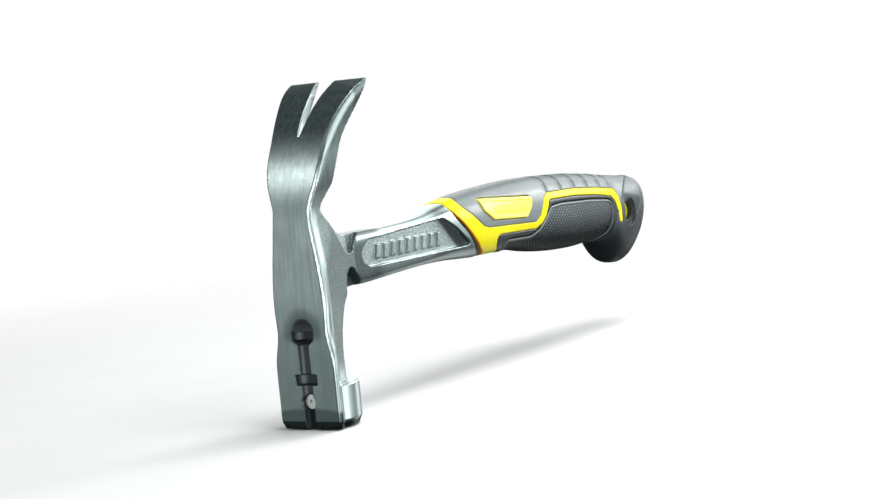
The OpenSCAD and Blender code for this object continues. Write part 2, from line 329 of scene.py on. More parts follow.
def carve(name, field, low, high, step, attributes=None):
    """Mesh object of a field inside a box in mm."""
    low = np.array(low, float)
    counts = np.ceil((np.array(high) - low) / step).astype(int) + 1
    x, y, z = [(low[k] + step * np.arange(counts[k])).astype(np.float32) for k in range(3)]
    values = field(x[:, None, None], y[None, :, None], z[None, None, :])
    values = np.broadcast_to(values, counts).copy()
    untangle(values)
    points, quads = surface_net(values, low, step)
    points = settle(field, points, step)
    normals = unit(gradient(field, points))
    layers = attributes(points, normals) if attributes else None
    return new_mesh_object(name, points, quads.tolist(), normals, layers)


# ------------ head and neck
DIAGONAL = 0.7071
HEAD_HEIGHT = 147.0
CROWN_X = -13.5
CLAW_START = 84.0
CLAW_RADIUS = 73.0
CLAW_CENTRE_X = CROWN_X + CLAW_RADIUS
POLL_X = -2.5
POLL_RADIUS = 16.0
POLL_TOP = 19.0
FACE_BEVEL = 1.6
BEVEL_TOP = 3.5
BEVEL_STEEPNESS = 0.909

# Flat facets along the edges of the crown: how far each faces forwards and sideways, how deep it
# cuts, and how much more it cuts on the claw. That grows between the heights of CLAW_RISE.
CLAW_RISE = (108, 126)
CROWN_FACETS = ((DIAGONAL, DIAGONAL, 0.8485, 0.3535), (0.32, 0.947, 0.62, 0.0),
                (0.5, 0.866, 0.0, 1.25))
CLAW_SIDE = (0.259, 0.966, 0.95)

V_BOTTOM = 124.6
V_HALF = 4.3
V_HEIGHTS = (V_BOTTOM, 130.0, 136.0, 141.0, HEAD_HEIGHT)
V_WIDTHS = (0.0, 0.9, 1.7, 2.5, V_HALF)
V_FLARE = 0.6
V_CHAMFER = 0.45
TIP_LEAN = 0.26

HEAD_LOW, HEAD_HIGH = (-26.0, -6.0), (36.0, 152.0)
REAR_CURVE = flow([
    (25, 146.5), (16.5, 133.3), (8.8, 122.8), (4.1, 111), (2.2, 104), (-0.8, 99.7), (-3.6, 95.8),
    (-4.2, 92.8), (-2.6, 90.2), (0.5, 87.2), (4, 84.4), (8, 82), (13, 80.6), (19, 80.1),
    (25.8, 80.3)])
CHEEK_END = [(20.6, 75), (20.4, 70), (20.6, 63.2), (23.6, 57.2)]
ROOT_CURVE = flow([(17, 56.5), (12, 54), (8.5, 50), (6, 44.5), (4, 38), (3, 30), (3.3, 22), (4, -8)])
rear_side = Outline([(-60, 160), (33.7, 160)] + REAR_CURVE + CHEEK_END + ROOT_CURVE + [(-60, -8)],
                    HEAD_LOW, HEAD_HIGH)
CROWN_CURVE = flow([
    (14.6, -8), (14.6, 0), (16, 3.5), (16.1, 10), (16.1, 20), (16, 27), (15.3, 32), (14.2, 37),
    (13.6, 41), (13.7, 46), (14, 52), (13.7, 60), (12.7, 70), (11.3, 80), (10.3, 88), (10, 93),
    (10.5, 96), (11.7, 100), (13.2, 105), (14.4, 112), (15.2, 121), (16.4, 128), (17.9, 134.4),
    (19.9, 141), (21.1, 147), (21.7, 150)])
crown_front = Outline([(-9, -8)] + CROWN_CURVE + [(-9, 150)], (-4.0, -6.0), (24.0, 152.0))
CHEEK_CURVE = flow([
    (-30, 16.2), (-13.5, 16.1), (-10.6, 15.3), (-9, 13.9), (-6.5, 12.6), (-1.5, 11.3), (3, 10.1),
    (12, 8.9), (20, 8.3), (40, 7.4)])
cheek_plan = Outline([(-30, -9)] + CHEEK_CURVE + [(40, -9)], (-28.0, -4.0), (38.0, 24.0))
FACET = [
    (-6, 93), (-3, 92), (4, 83.5), (11, 75), (12.6, 73.1), (14.6, 72.1), (16.6, 72), (18.4, 72.8),
    (19.6, 74.6), (21, 76.4), (27, 82.5), (20, 95)]
web_facet = Outline(filleted(FACET, 1.5), HEAD_LOW, HEAD_HIGH)
# Where the facet is measured from, its direction across the crease, and its half width there
FACET_PLACE, FACET_ACROSS = (-3, 92), (0.772, 0.636)
FACET_HALF = 10.95
NOTCH = [
    (10.5, 50), (10.9, 59), (11.9, 63), (14.4, 65.6), (17, 65.8), (19.7, 63.8), (22.3, 61.2),
    (24.4, 58.6), (27, 50)]
notch_side = Outline(filleted(NOTCH, 3), HEAD_LOW, HEAD_HIGH)

NECK_SECTIONS = [
    [13, 57.5, 80, 7.8, 5], [30, 57, 80.2, 7.4, 5], [55, 58, 80.4, 7.8, 4.5],
    [80, 58.8, 82, 9.2, 4], [98, 58.4, 85.4, 11.5, 3], [114, 57.4, 87.3, 13.1, 2.7],
    [127, 56.6, 88.2, 13.6, 2.5]]
neck_loft = Loft(NECK_SECTIONS)
NECK_END = [
    [133, 30], [132, 50], [125, 57.2], [116.8, 61.6], [112.8, 65.8], [109.8, 69.8], [105.1, 74.3],
    [100.5, 78.8], [98.2, 83.3], [100.2, 86], [103.3, 86.9], [106.2, 87.6], [108.1, 88.5],
    [108.1, 100]]
neck_end = Outline([(-20, 30)] + NECK_END + [(-20, 100)], (-6.0, 44.0), (138.0, 96.0))
RECESS = [
    [33, 64], [108, 64.3], [111, 65], [101, 73.5], [92, 79.2], [33, 76], [28.5, 73], [26.5, 70],
    [27.5, 67]]
recess_side = Outline(filleted(RECESS, 1.6), (10.0, 50.0), (130.0, 92.0))
RECESS_FLOOR = 5.1
RECESS_TAPER = 3.6 / 90
RECESS_START_X = 24
RAMP_PLACE = (88.5, 79.9)
RAMP_RISE = 1.5
BAR_COUNT = 9
BAR_PITCH = 6.0
BAR_HALF = 1.7
BAR_LEAN = 1.6 / 7
BAR_FIRST_X = 38
BAR_BOTTOM, BAR_TOP = 66.5, 73.5
BAR_RISE = 1.2

GROOVE_RADIUS = 2.7
GROOVE_TOP = 38
POCKET_RADIUS = 5.5
POCKET = (19, 23.6)
FUNNEL = (34, 42)
FUNNEL_START, FUNNEL_SLOPE = 36.2, 1.3
SCOOP_PLACE, SCOOP_RADIUS = (CROWN_X - 9.6, -0.8, 42), 11
MAGNET_Z = 11.7
MAGNET_X = -11.5
MAGNET_RADIUS = 3.5


def crown_distance(x, z):
    """Distance in front of the crown: flat up to the claw, then an arc."""
    arc = np.hypot(x - CLAW_CENTRE_X, z - CLAW_START) - CLAW_RADIUS
    return np.where(z < CLAW_START, CROWN_X - x, arc)


def face_bevel(distance, z):
    """Bevel round the striking face, on a side at this distance."""
    return (distance + (BEVEL_TOP - z) * FACE_BEVEL / BEVEL_TOP) * BEVEL_STEEPNESS


def head_block(x, width, z):
    """Crown, cheeks and claw, without the round poll."""
    crown = crown_distance(x, z)
    front = crown_front(width, z)
    block = round_both(crown, front, 0.25)
    claw = ease(z, *CLAW_RISE)
    for forwards, sideways, depth, extra in CROWN_FACETS:
        block = np.maximum(block, forwards * crown + sideways * front + depth + extra * claw)
    forwards, sideways, extra = CLAW_SIDE
    block = round_both(block, forwards * crown + sideways * front + extra * claw, 0.3)
    open_side = 14 * ease(z, 86.5, 94.5)
    block = round_both(block, cheek_plan(x, width) - open_side, 0.8)
    rear_radius = 2.6 - 2.0 * ease(z, 78, 100) - 1.2 * ease(z, 56, 62)
    block = round_both(block, rear_side(x, z), rear_radius)
    return np.maximum(block, face_bevel(crown, z))


def facet_cut(x, width, z):
    """Sloping recess above the long crease of the cheek, with a small ledge at its lower end."""
    from_x, from_z = x - FACET_PLACE[0], z - FACET_PLACE[1]
    across = FACET_ACROSS[0] * from_x + FACET_ACROSS[1] * from_z
    along = FACET_ACROSS[1] * from_x - FACET_ACROSS[0] * from_z
    half = FACET_HALF - 0.14 * along - 0.16 * np.maximum(across, 0)
    return np.maximum(web_facet(x, z), (half - width) * 0.91)


def claw_v(width, z, behind):
    """Nail slot: a narrow V on the crown whose walls open out towards the rear."""
    opening = np.interp(z, V_HEIGHTS, V_WIDTHS) + behind * V_FLARE
    return (width - opening) * 0.85


def nail_starter(x, y, z):
    """Groove for a nail in the foot of the crown, with its pocket, funnel, scoop and magnet hole."""
    from_axis = np.hypot(x - CROWN_X, y)
    shank = round_both(from_axis - GROOVE_RADIUS, z - GROOVE_TOP, 0.3)
    middle = round_both(from_axis - POCKET_RADIUS, slab(z, *POCKET), 0.6)
    funnel_radius = GROOVE_RADIUS + np.maximum(z - FUNNEL_START, 0) * FUNNEL_SLOPE
    funnel = from_axis - np.minimum(POCKET_RADIUS, funnel_radius)
    upper = round_both(funnel * 0.7, slab(z, *FUNNEL), 0.4)
    scoop_x, scoop_y, scoop_z = SCOOP_PLACE
    from_scoop = np.sqrt((x - scoop_x) ** 2 + (y - scoop_y) ** 2 + (z - scoop_z) ** 2)
    scoop = from_scoop - SCOOP_RADIUS
    starter = np.minimum(np.minimum(shank, middle), np.minimum(upper, scoop))
    magnet_hole = np.maximum(np.hypot(y, z - MAGNET_Z) - MAGNET_RADIUS, x - MAGNET_X - 0.5)
    return round_either(starter, magnet_hole, 0.3)


def ramp_distance(x, z):
    """Distance past the foot of the ramp that ends the recess of the neck."""
    return (x - RAMP_PLACE[0] + z - RAMP_PLACE[1]) * DIAGONAL


def recess_floor(x, z):
    """Half width of the neck at the floor of its recess, raised where the bars are."""
    floor = RECESS_FLOOR + (x - RECESS_START_X) * RECESS_TAPER
    floor = floor + RAMP_RISE * ease(ramp_distance(x, z), 0.3, 4.4)
    lean = x - BAR_FIRST_X - (z - BAR_BOTTOM) * BAR_LEAN - BAR_HALF
    index = np.clip(np.round(lean / BAR_PITCH), 0, BAR_COUNT - 1)
    bar = round_both(np.abs(lean - index * BAR_PITCH) - BAR_HALF, slab(z, BAR_BOTTOM, BAR_TOP), 0.6)
    return floor + BAR_RISE * (1 - ease(bar, -0.55, 0.15))


def forged_body(x, y, z):
    """The whole visible forging: head, poll, claw and neck."""
    width = np.abs(y)
    block = head_block(x, width, z)
    poll_side = np.hypot(x - POLL_X, y) - POLL_RADIUS
    poll = round_both(poll_side, z - POLL_TOP, 1.1)
    poll = np.maximum(poll, face_bevel(poll_side, z))
    poll = round_both(poll, CROWN_X + 1.6 - x, 0.5)
    body = round_either(block, poll, 1.2)
    neck = round_both(neck_loft(x, y, z), np.maximum(neck_end(x, z), 13 - x), 0.6)
    body = round_either(body, neck, 0.5)
    body = cut(body, facet_cut(x, width, z), 0.3)
    body = cut(body, np.maximum(notch_side(x, z), 2.6 - width), 0.6)
    body = cut(body, round_both(recess_side(x, z), recess_floor(x, z) - width, 0.3), 0.35)
    crown = crown_distance(x, z)
    v_gap = np.maximum(claw_v(width, z, -crown), V_BOTTOM - z)
    body = cut(body, v_gap, 0.2)
    body = np.maximum(body, (crown - v_gap + V_CHAMFER) * DIAGONAL)
    tip = HEAD_HEIGHT - TIP_LEAN * (width - V_HALF)
    body = np.maximum(body, (z - tip) * 0.24 + crown * 0.97)
    body = round_both(body, z - HEAD_HEIGHT, 0.3)
    body = cut(body, nail_starter(x, y, z), 0.3)
    return round_both(body, -z, 0.4)


def forged_marks(points, normals):
    """Where the forging is brushed or grainy, and where shade and dark reflections are painted on,
    as weights for its material.
    """
    x, y, z = points.T
    width, sideways, upwards = np.abs(y), np.abs(normals[:, 1]), normals[:, 2]
    crown = crown_distance(x, z)
    behind = -crown
    in_recess = -recess_side(x, z)
    starter = nail_starter(x, y, z)
    brushed = ease(crown, -0.35, -0.1)

    # Grain: the cheeks, the floors of the recesses and the rear of the head below the neck
    cheek = ease(x, -9.5, -7) * ease(sideways, 0.3, 0.7) * (1 - ease(x, 19.5, 20.6))
    cheek = cheek * ease(z, 20, 32) * (1 - ease(z, 90, 97))
    recess = ease(in_recess, 0.1, 0.6) * (sideways > 0.5)
    root = ease(x, -4, 4) * (1 - ease(z, 57, 60)) * ease(z, 22, 30)
    grain = np.clip(cheek + recess + root, 0, 1)

    # Foot of the crown, painted near-black for the dark reflection there, with a slightly curved
    # upper edge
    foot = ease(crown, -3.5, -2.5) * (1 - ease(z + 0.006 * y * y, 8.2, 10.2))
    foot = np.maximum(foot, 1 - ease(z, 2.4, 3.2))
    # Lower crown painted darker for the dark reflection it shows
    low = ease(crown, -1.5, -0.5) * (1 - ease(z, 28, 62))

    # Claw: painted dark reflection on its crown, its side behind the bend and the walls of the slot
    claw = ease(crown, -0.5, -0.2) * ease(z, 119, 129)
    claw = np.maximum(claw, 0.8 * ease(behind, 3.4, 4.2) * ease(z, 98, 106) * (crown < -1))
    wall = 1 - ease(claw_v(width, z, behind), 0.1, 0.5)
    wall = wall * ease(z, V_BOTTOM - 0.5, V_BOTTOM + 0.5) * ease(behind, 0.4, 0.9)
    claw = np.maximum(claw, 0.6 * wall)

    # Painted shade: the cheek, the first stretch of the neck and the underside of the neck, painted
    # darker for the shadow and dark reflections they show
    neck = ease(x, 15, 17) * (1 - ease(x, 37, 47)) * (in_recess < 0.1) * ease(z, 56, 58)
    under = 0.7 * ease(x, 20, 30) * ease(-upwards, 0.25, 0.6)
    flat = ease(web_facet(x, z), 0, 0.5)
    shade = np.clip(cheek * flat * (0.72 + 0.28 * ease(z, 40, 75)) + neck + under, 0, 1)

    # Painted shade and dark reflections: the ramp of the recess, the notch, the nail groove and the
    # neck's top edge; and a darker halo round the top of the groove
    ramp = ease(ramp_distance(x, z), -0.2, 0.6) * ease(in_recess, -0.1, 0.4)
    notch = ease(-notch_side(x, z), -0.3, 0.5) * (1 - ease(width, 7.2, 8))
    bore = ease(-starter, -0.35, 0.05) * (1 - 0.1 * ease(z, 41.8, 42.4))
    halo = 0.65 * (1 - ease(starter, 0, 4.5)) * ease(z, 36, 41)
    top_edge = 0.75 * neck * ease(upwards, 0.3, 0.6) * (1 - ease(upwards, 0.96, 0.995))
    shade_and_halo = np.clip(ramp + notch + bore + halo + top_edge, 0, 1)
    return {"brushed": brushed, "claw": claw, "low": low, "grain": grain, "shade_and_halo": shade_and_halo,
            "foot": foot, "shade": shade}


def nail_magnet(x, y, z):
    """Round magnet with a small dimple."""
    from_axis = np.hypot(y, z - MAGNET_Z)
    disc = round_both(from_axis - MAGNET_RADIUS + 0.25, slab(x, MAGNET_X, MAGNET_X + 8), 0.25)
    return cut(disc, np.maximum(from_axis - 0.7, x - MAGNET_X - 0.6), 0.1)


# ------------ grip
GRIP_SECTIONS = [
    [96, 58.6, 85.4, 12.2, 2.4], [105, 57.8, 87, 13.2, 2.4], [125, 57, 89, 14, 2.5],
    [150, 56.5, 90.3, 14.2, 2.5], [165, 55.6, 90.8, 14.5, 2.5], [180, 53, 90.8, 15, 2.5],
    [200, 50.8, 90.3, 15.5, 2.5], [225, 49.7, 89.2, 15.2, 2.4], [242, 50.2, 87.7, 14.6, 2.4],
    [251, 50.1, 86.9, 14.2, 2.4], [257, 48.8, 86.1, 13.9, 2.4], [262, 44.8, 85.5, 13.6, 2.4],
    [268, 37.6, 84.8, 13.4, 2.4], [275, 35.3, 84, 13.2, 2.5], [283, 36.4, 83.2, 13, 2.5],
    [291, 40.8, 82.4, 12.5, 2.5], [298, 47, 81.6, 11.8, 2.5], [304, 55, 80, 10, 2.4],
    [307.5, 62, 77.6, 7, 2.3], [309, 68, 72.8, 2.5, 2.2]]
grip_loft = Loft(GRIP_SECTIONS)
GRIP_END_X = 309.0

GRIP_LOW, GRIP_HIGH = (92.0, 32.0), (314.0, 94.0)
COLLAR_FRONT = [
    [108.5, 100], [108.5, 88.2], [106.5, 87.2], [103.6, 86.5], [100.6, 85.6], [98.6, 83.4],
    [101, 79], [105.4, 74.8], [110.1, 70.3], [114.8, 66.1], [120.4, 61.8], [129, 57], [136, 50],
    [136, 30]]
YELLOW_BELLY = [
    [147, 30], [147, 56], [141, 58.5], [136.6, 61], [134.8, 64.4], [137, 66.3], [172, 65.2]]
STRIPE_UNDER = [
    [178, 67.5], [182, 71], [187, 78.5], [214, 78], [240, 76], [258, 73.5], [262.5, 71],
    [265.5, 65], [266.3, 58.3]]
STRIPE_OVER = [
    [269.6, 58.3], [269.8, 67], [268.3, 73.5], [264.5, 77], [241, 79.5], [215, 81.5], [186, 82],
    [182, 79.5], [177, 71.5], [172, 68.5]]
COLLAR_BACK = [
    [146, 69.8], [127, 70.6], [122, 71.9], [117.2, 75.3], [112.3, 79.2], [108.3, 82.3], [107, 85],
    [110.5, 88], [111, 100]]
CAP_SEAM = [
    [249, 30], [249, 49], [253.5, 50.3], [257.3, 52.5], [259.2, 56.5], [262.9, 63], [270.1, 69],
    [277.9, 76], [283, 78.8], [289, 80.7], [297, 82], [299, 100]]
PAD = [
    [149, 30], [149, 56], [146, 58], [145, 60.5], [147, 62.6], [168, 62], [175, 64.5], [182, 70],
    [188, 75], [198, 75.5], [231, 74], [253, 72], [257, 70.5], [258.2, 66], [258.4, 62],
    [257.3, 57.5], [255.2, 53.4], [251.5, 50.8], [247.5, 49], [247.5, 30]]
BADGE = [
    [121.5, 85.3], [168, 82], [169.3, 80.5], [167.8, 76.8], [162.5, 71.9], [131, 74.1], [123.5, 79]]
HOLE_RECESS = [
    [274.5, 74.3], [296.5, 69.2], [293.5, 64.5], [288, 60.3], [282.5, 55.9], [277, 54.8], [274, 58]]
TAIL = [[250, 58], [290, 56], [294, 64], [290, 74], [250, 76]]
STRIPE_MIDDLE = [
    [143, 68], [172, 66.8], [178, 69.5], [182, 74], [186.5, 80], [214, 79.8], [240, 77.8],
    [262, 75], [267, 71.5], [268, 66.5]]
CORE_HALF = 9.5
CORE_ENDS = (112, 252)
CORE_TAIL_HALF = 7.5
SKIN = 4.5
SEAM_GAP = 0.06
TANG_MIDDLE_Z = 71.5
TANG_HALF_WIDTH, TANG_HALF_HEIGHT = 4.6, 8.6
RING_INSET = 0.4
PAD_INSET = 0.4
PAD_GROOVE_WIDTH, PAD_GROOVE_DEPTH = 0.75, 1.7
PAD_LIP_RADIUS = 0.6
BADGE_RISE = 0.8
BADGE_HOLLOW = 0.4
BADGE_SEAT = 0.35
STROKE_COUNT = 8
STROKE_PITCH = 4
STROKE_HALF = 0.85
STROKE_FIRST_X = 133.5
STROKE_LEAN = 0.25
HOLE_X, HOLE_Z, HOLE_RADIUS = 281.8, 63.4, 5.2
HOLE_RECESS_HALF = 12.0
# Steps round the lanyard hole: how much wider than the hole, and the half width left between them
HOLE_STEPS = ((1.6, 11.3), (0.8, 10.6))


def grip_outline(points, radius):
    return Outline(filleted(points, radius), GRIP_LOW, GRIP_HIGH)


yellow_side = grip_outline(COLLAR_FRONT + YELLOW_BELLY + STRIPE_UNDER + STRIPE_OVER
                           + COLLAR_BACK, 3.5)
SHELL_START = [[109.8, 100], [109.8, 88.1], [106, 85.8], [104, 84], [110, 77.6], [124, 69]]
back_side = grip_outline(SHELL_START + STRIPE_MIDDLE + CAP_SEAM[6:], 3)
FRAME_START = [[130, 30], [130, 60], [138, 68]]
front_side = grip_outline(FRAME_START + STRIPE_MIDDLE[1:] + CAP_SEAM[5::-1], 3)
cap_side = grip_outline(CAP_SEAM + [[330, 100], [330, 30]], 5)
pad_side = grip_outline(PAD, 3)
badge_side = grip_outline(BADGE, 1.6)
ring_side = grip_outline(COLLAR_FRONT + NECK_END, 4)
recess_of_hole = grip_outline(HOLE_RECESS, 3)
tail_side = grip_outline(TAIL, 2)


def envelope(x, y, z):
    """Distance to the outer surface of the grip, rounded off at the butt."""
    return round_both(grip_loft(x, y, z), x - GRIP_END_X, 1.2)


def core_block(x, y, z):
    """Rigid core under the soft skin."""
    middle, height, _, _ = grip_loft.section(x)
    block = np.maximum(np.abs(z - middle) - height + SKIN, slab(x, *CORE_ENDS))
    block = round_both(block, np.abs(y) - CORE_HALF, 1)
    tail = round_both(tail_side(x, z), np.abs(y) - CORE_TAIL_HALF, 0.5)
    return np.minimum(block, tail)


def lanyard_hole(x, z):
    return np.hypot(x - HOLE_X, z - HOLE_Z) - HOLE_RADIUS


def core_sleeve(x, y, z):
    shown = round_both(envelope(x, y, z), yellow_side(x, z), 0.45)
    whole = np.minimum(shown, core_block(x, y, z))
    return cut(whole, lanyard_hole(x, z), 0.4)


def skin(x, y, z, side, radius, sink=0):
    """Soft skin inside one outline, with the stripe and the core left out."""
    edge = np.maximum(side, SEAM_GAP - yellow_side(x, z))
    outer = round_both(envelope(x, y, z) + sink, edge, radius)
    return np.maximum(outer, SEAM_GAP - core_block(x, y, z))


# Where each rib of the spine ends at the side, and how far its middle lies towards the butt
RIB_ENDS = (186.9, 202.3, 217.7, 232.8, 247.2, 260.2)
RIB_SWEEP = 4.8
RIB_DROP = 8.6
RIB_LENGTH = 6.5
RIB_DEPTH = 0.7
RIB_NOTCH_DEPTH = 1.25


def rib_depth(x, y, z):
    """How far the spine sinks before each rib: a long slope, then a step back up, like scales."""
    middle, height, _, _ = grip_loft.section(x)
    drop = np.maximum(middle + height - z, 0)
    reach = np.clip(1 - drop / RIB_DROP, 0, 1)
    depth = np.zeros(np.broadcast(x, y, z).shape, np.float32)
    for end in RIB_ENDS:
        lag = x - end - RIB_SWEEP * reach ** 0.8
        slope = ease(lag, -RIB_LENGTH, 0) * (1 - ease(lag, -0.3, 0.3))
        depth = np.maximum(depth, RIB_DEPTH * slope * ease(reach, 0, 0.3))
        notch_width = 0.9 * ease(drop, 2.5, 6) * ease(RIB_DROP + 0.6 - drop, 0, 1.6)
        notch = 1 - ease(np.abs(lag + 0.7), 0.2, 0.25 + notch_width)
        depth = np.maximum(depth, RIB_NOTCH_DEPTH * notch * ease(notch_width, 0.05, 0.6))
    return depth


MOULD_LINE = flow([(255.8, 92), (256.3, 84.5), (256.9, 80), (257.8, 75.7), (259, 71)])
mould_line = Outline(MOULD_LINE + [(x + 0.05, z) for x, z in MOULD_LINE[::-1]], GRIP_LOW, GRIP_HIGH)


def mould_mark(x, z):
    """The fine parting line that crosses the shell and the stripe, as a weight: a real line, with
    the shade of its groove painted on as a dark line.
    """
    return 0.75 * (1 - ease(np.abs(mould_line(x, z)), 0.1, 0.45))


def back_shell(x, y, z):
    """Soft shell over the back of the grip, with its ribs and a seat for each badge."""
    shell = skin(x, y, z, back_side(x, z), 0.7, sink=rib_depth(x, y, z))
    seat = np.maximum(badge_side(x, z) - BADGE_SEAT, CORE_HALF - np.abs(y))
    return cut(shell, seat, 0.5)


def grip_frame(x, y, z):
    """Smooth border round the finger pad, with a groove along the pad."""
    pad = pad_side(x, z)
    border = np.maximum(skin(x, y, z, front_side(x, z), 0.9), 0.05 - pad)
    groove = np.maximum(pad - PAD_GROOVE_WIDTH, -envelope(x, y, z) - PAD_GROOVE_DEPTH)
    groove = np.maximum(groove, 1.0 - core_block(x, y, z))
    return cut(border, groove, 0.35)


def finger_pad(x, y, z):
    """Pad round the belly of the grip, a little sunk, with a raised lip."""
    pad = pad_side(x, z)
    outer = envelope(x, y, z)
    panel = round_both(outer + PAD_INSET, pad, 0.4)
    lip = np.hypot(pad + 0.65, outer + 0.35) - PAD_LIP_RADIUS
    return np.maximum(round_either(panel, lip, 0.25), SEAM_GAP - core_block(x, y, z))


def shock_ring(x, y, z):
    """Soft ring between the neck and the yellow collar, open for the tang."""
    ring = round_both(envelope(x, y, z) + RING_INSET, ring_side(x, z) + 0.05, 0.5)
    tang = np.maximum(np.abs(y) - TANG_HALF_WIDTH, np.abs(z - TANG_MIDDLE_Z) - TANG_HALF_HEIGHT)
    return np.maximum(ring, -tang)


def badge(x, y, z):
    """Raised plate on each side, with plain slanted strokes standing in a shallow hollow."""
    side = badge_side(x, z)
    outer = envelope(x, y, z)
    plate = round_both(outer - BADGE_RISE, side, 0.45)
    lean = x - STROKE_FIRST_X - (z - 76) * STROKE_LEAN
    index = np.clip(np.round(lean / STROKE_PITCH), 0, STROKE_COUNT - 1)
    stroke = round_both(np.abs(lean - index * STROKE_PITCH) - STROKE_HALF,
                        np.abs(z - 78.2) - 2.2, 0.4)
    hollow = BADGE_HOLLOW * ease(-side, 1.3, 1.9) * ease(stroke, -0.3, 0.3)
    plate = np.maximum(plate, outer - BADGE_RISE + hollow)
    return np.maximum(plate, CORE_HALF + 0.05 - np.abs(y))


def butt_cap(x, y, z):
    """Hooked end of the grip, with a bead along its seam and steps round the lanyard hole."""
    cap = skin(x, y, z, cap_side(x, z), 0.45)
    bead = np.hypot(cap_side(x, z) + 0.35, envelope(x, y, z) + 0.05) - 0.42
    bead = np.maximum(bead, SEAM_GAP - yellow_side(x, z))
    cap = round_either(cap, bead, 0.2)
    width = np.abs(y)
    hole = lanyard_hole(x, z)
    cap = cut(cap, np.maximum(recess_of_hole(x, z), HOLE_RECESS_HALF - width), 0.4)
    for wider, half in HOLE_STEPS:
        cap = cut(cap, np.maximum(hole - wider, half - width), 0.2)
    return cut(cap, hole, 0.3)


# Dots of the finger pad, in mm: offset rows of small domes with this many sides
DOT_PITCH = 2.8
DOT_ROW_PITCH = 1.4
DOT_SIDES = 8
DOT_FIRST_X, DOT_STRETCH = 146.0, 115
DOT_MARGIN = 1.7
# Radius and height of a dome's base and shoulder, and the height of its top
DOT_RINGS = ((0.58, -0.2), (0.5, 0.14))
DOT_TOP = 0.34


def pad_floor(x, y, z):
    return grip_loft(x, y, z) + PAD_INSET


def dot_sites():
    """Places of the dots, walked along each section of the grip and moved onto the pad."""
    angles = np.linspace(-math.pi / 2, math.pi / 2, 400)
    sines = np.sin(angles)
    sites = []
    for column in range(int(DOT_STRETCH / (DOT_PITCH / 2))):
        x = DOT_FIRST_X + column * DOT_PITCH / 2
        middle, height, half, power = [float(v) for v in grip_loft.section(np.array(x))]
        y = (half - PAD_INSET) * np.abs(np.cos(angles)) ** (2 / power)
        z = middle + (height - PAD_INSET) * np.sign(sines) * np.abs(sines) ** (2 / power)
        length = np.concatenate([[0], np.cumsum(np.hypot(np.diff(y), np.diff(z)))])
        for row in np.arange(column % 2, int(length[-1] / DOT_ROW_PITCH), 2):
            place_y = float(np.interp(row * DOT_ROW_PITCH, length, y))
            place_z = float(np.interp(row * DOT_ROW_PITCH, length, z))
            for side in ((-1, 1) if row else (1,)):
                sites.append((x, side * place_y, place_z))
    sites = np.array(sites)
    sites = sites[pad_side(sites[:, 0], sites[:, 2]) < -DOT_MARGIN]
    return settle(pad_floor, sites, 0.5)


def pad_dots():
    """Small domes all over the finger pad, as one mesh of closed solids."""
    sites = dot_sites()
    normals = unit(gradient(pad_floor, sites))
    along = unit(np.cross(normals, np.cross(((1.0, 0.0, 0.0),), normals)))
    across = np.cross(normals, along)
    points, faces = [], []
    turns = [2 * math.pi * k / DOT_SIDES for k in range(DOT_SIDES)]
    for place, up, a, b in zip(sites, normals, along, across):
        first = len(points)
        for radius, lift in DOT_RINGS:
            for turn in turns:
                around = math.cos(turn) * a + math.sin(turn) * b
                points.append(place + up * lift + radius * around)
        points.append(place + up * DOT_TOP)
        top = first + 2 * DOT_SIDES
        shoulder = first + DOT_SIDES
        faces.append(tuple(shoulder - 1 - k for k in range(DOT_SIDES)))
        for k in range(DOT_SIDES):
            on = (k + 1) % DOT_SIDES
            faces.append((first + k, first + on, shoulder + on, shoulder + k))
            faces.append((shoulder + k, shoulder + on, top))
    points = np.array(points)
    return new_mesh_object("pad_dots", points, faces, attributes={"low": pad_shade(points[:, 2])})


# ------------ materials
class Nodes:
    """A node tree, with short helpers to add nodes. Inputs are set by name, with _ for a space."""

    def __init__(self, tree):
        self.nodes = tree.nodes
        self.links = tree.links

    def put(self, target, value):
        if hasattr(value, "is_output"):
            self.links.new(value, target)
        else:
            target.default_value = value

    def fill(self, node, inputs):
        for key, value in inputs.items():
            self.put(node.inputs[key.replace("_", " ")], value)
        return node

    def add(self, kind, **inputs):
        return self.fill(self.nodes.new("ShaderNode" + kind), inputs)

    def span(self, value, low, high, to_low, to_high):
        node = self.add("MapRange", Value=value, From_Min=low, From_Max=high, To_Min=to_low,
                        To_Max=to_high)
        return node.outputs["Result"]

    def mix_shaders(self, factor, a, b):
        mixer = self.add("MixShader", Fac=factor)
        self.put(mixer.inputs[1], a.outputs[0])
        self.put(mixer.inputs[2], b.outputs[0])
        return mixer.outputs[0]


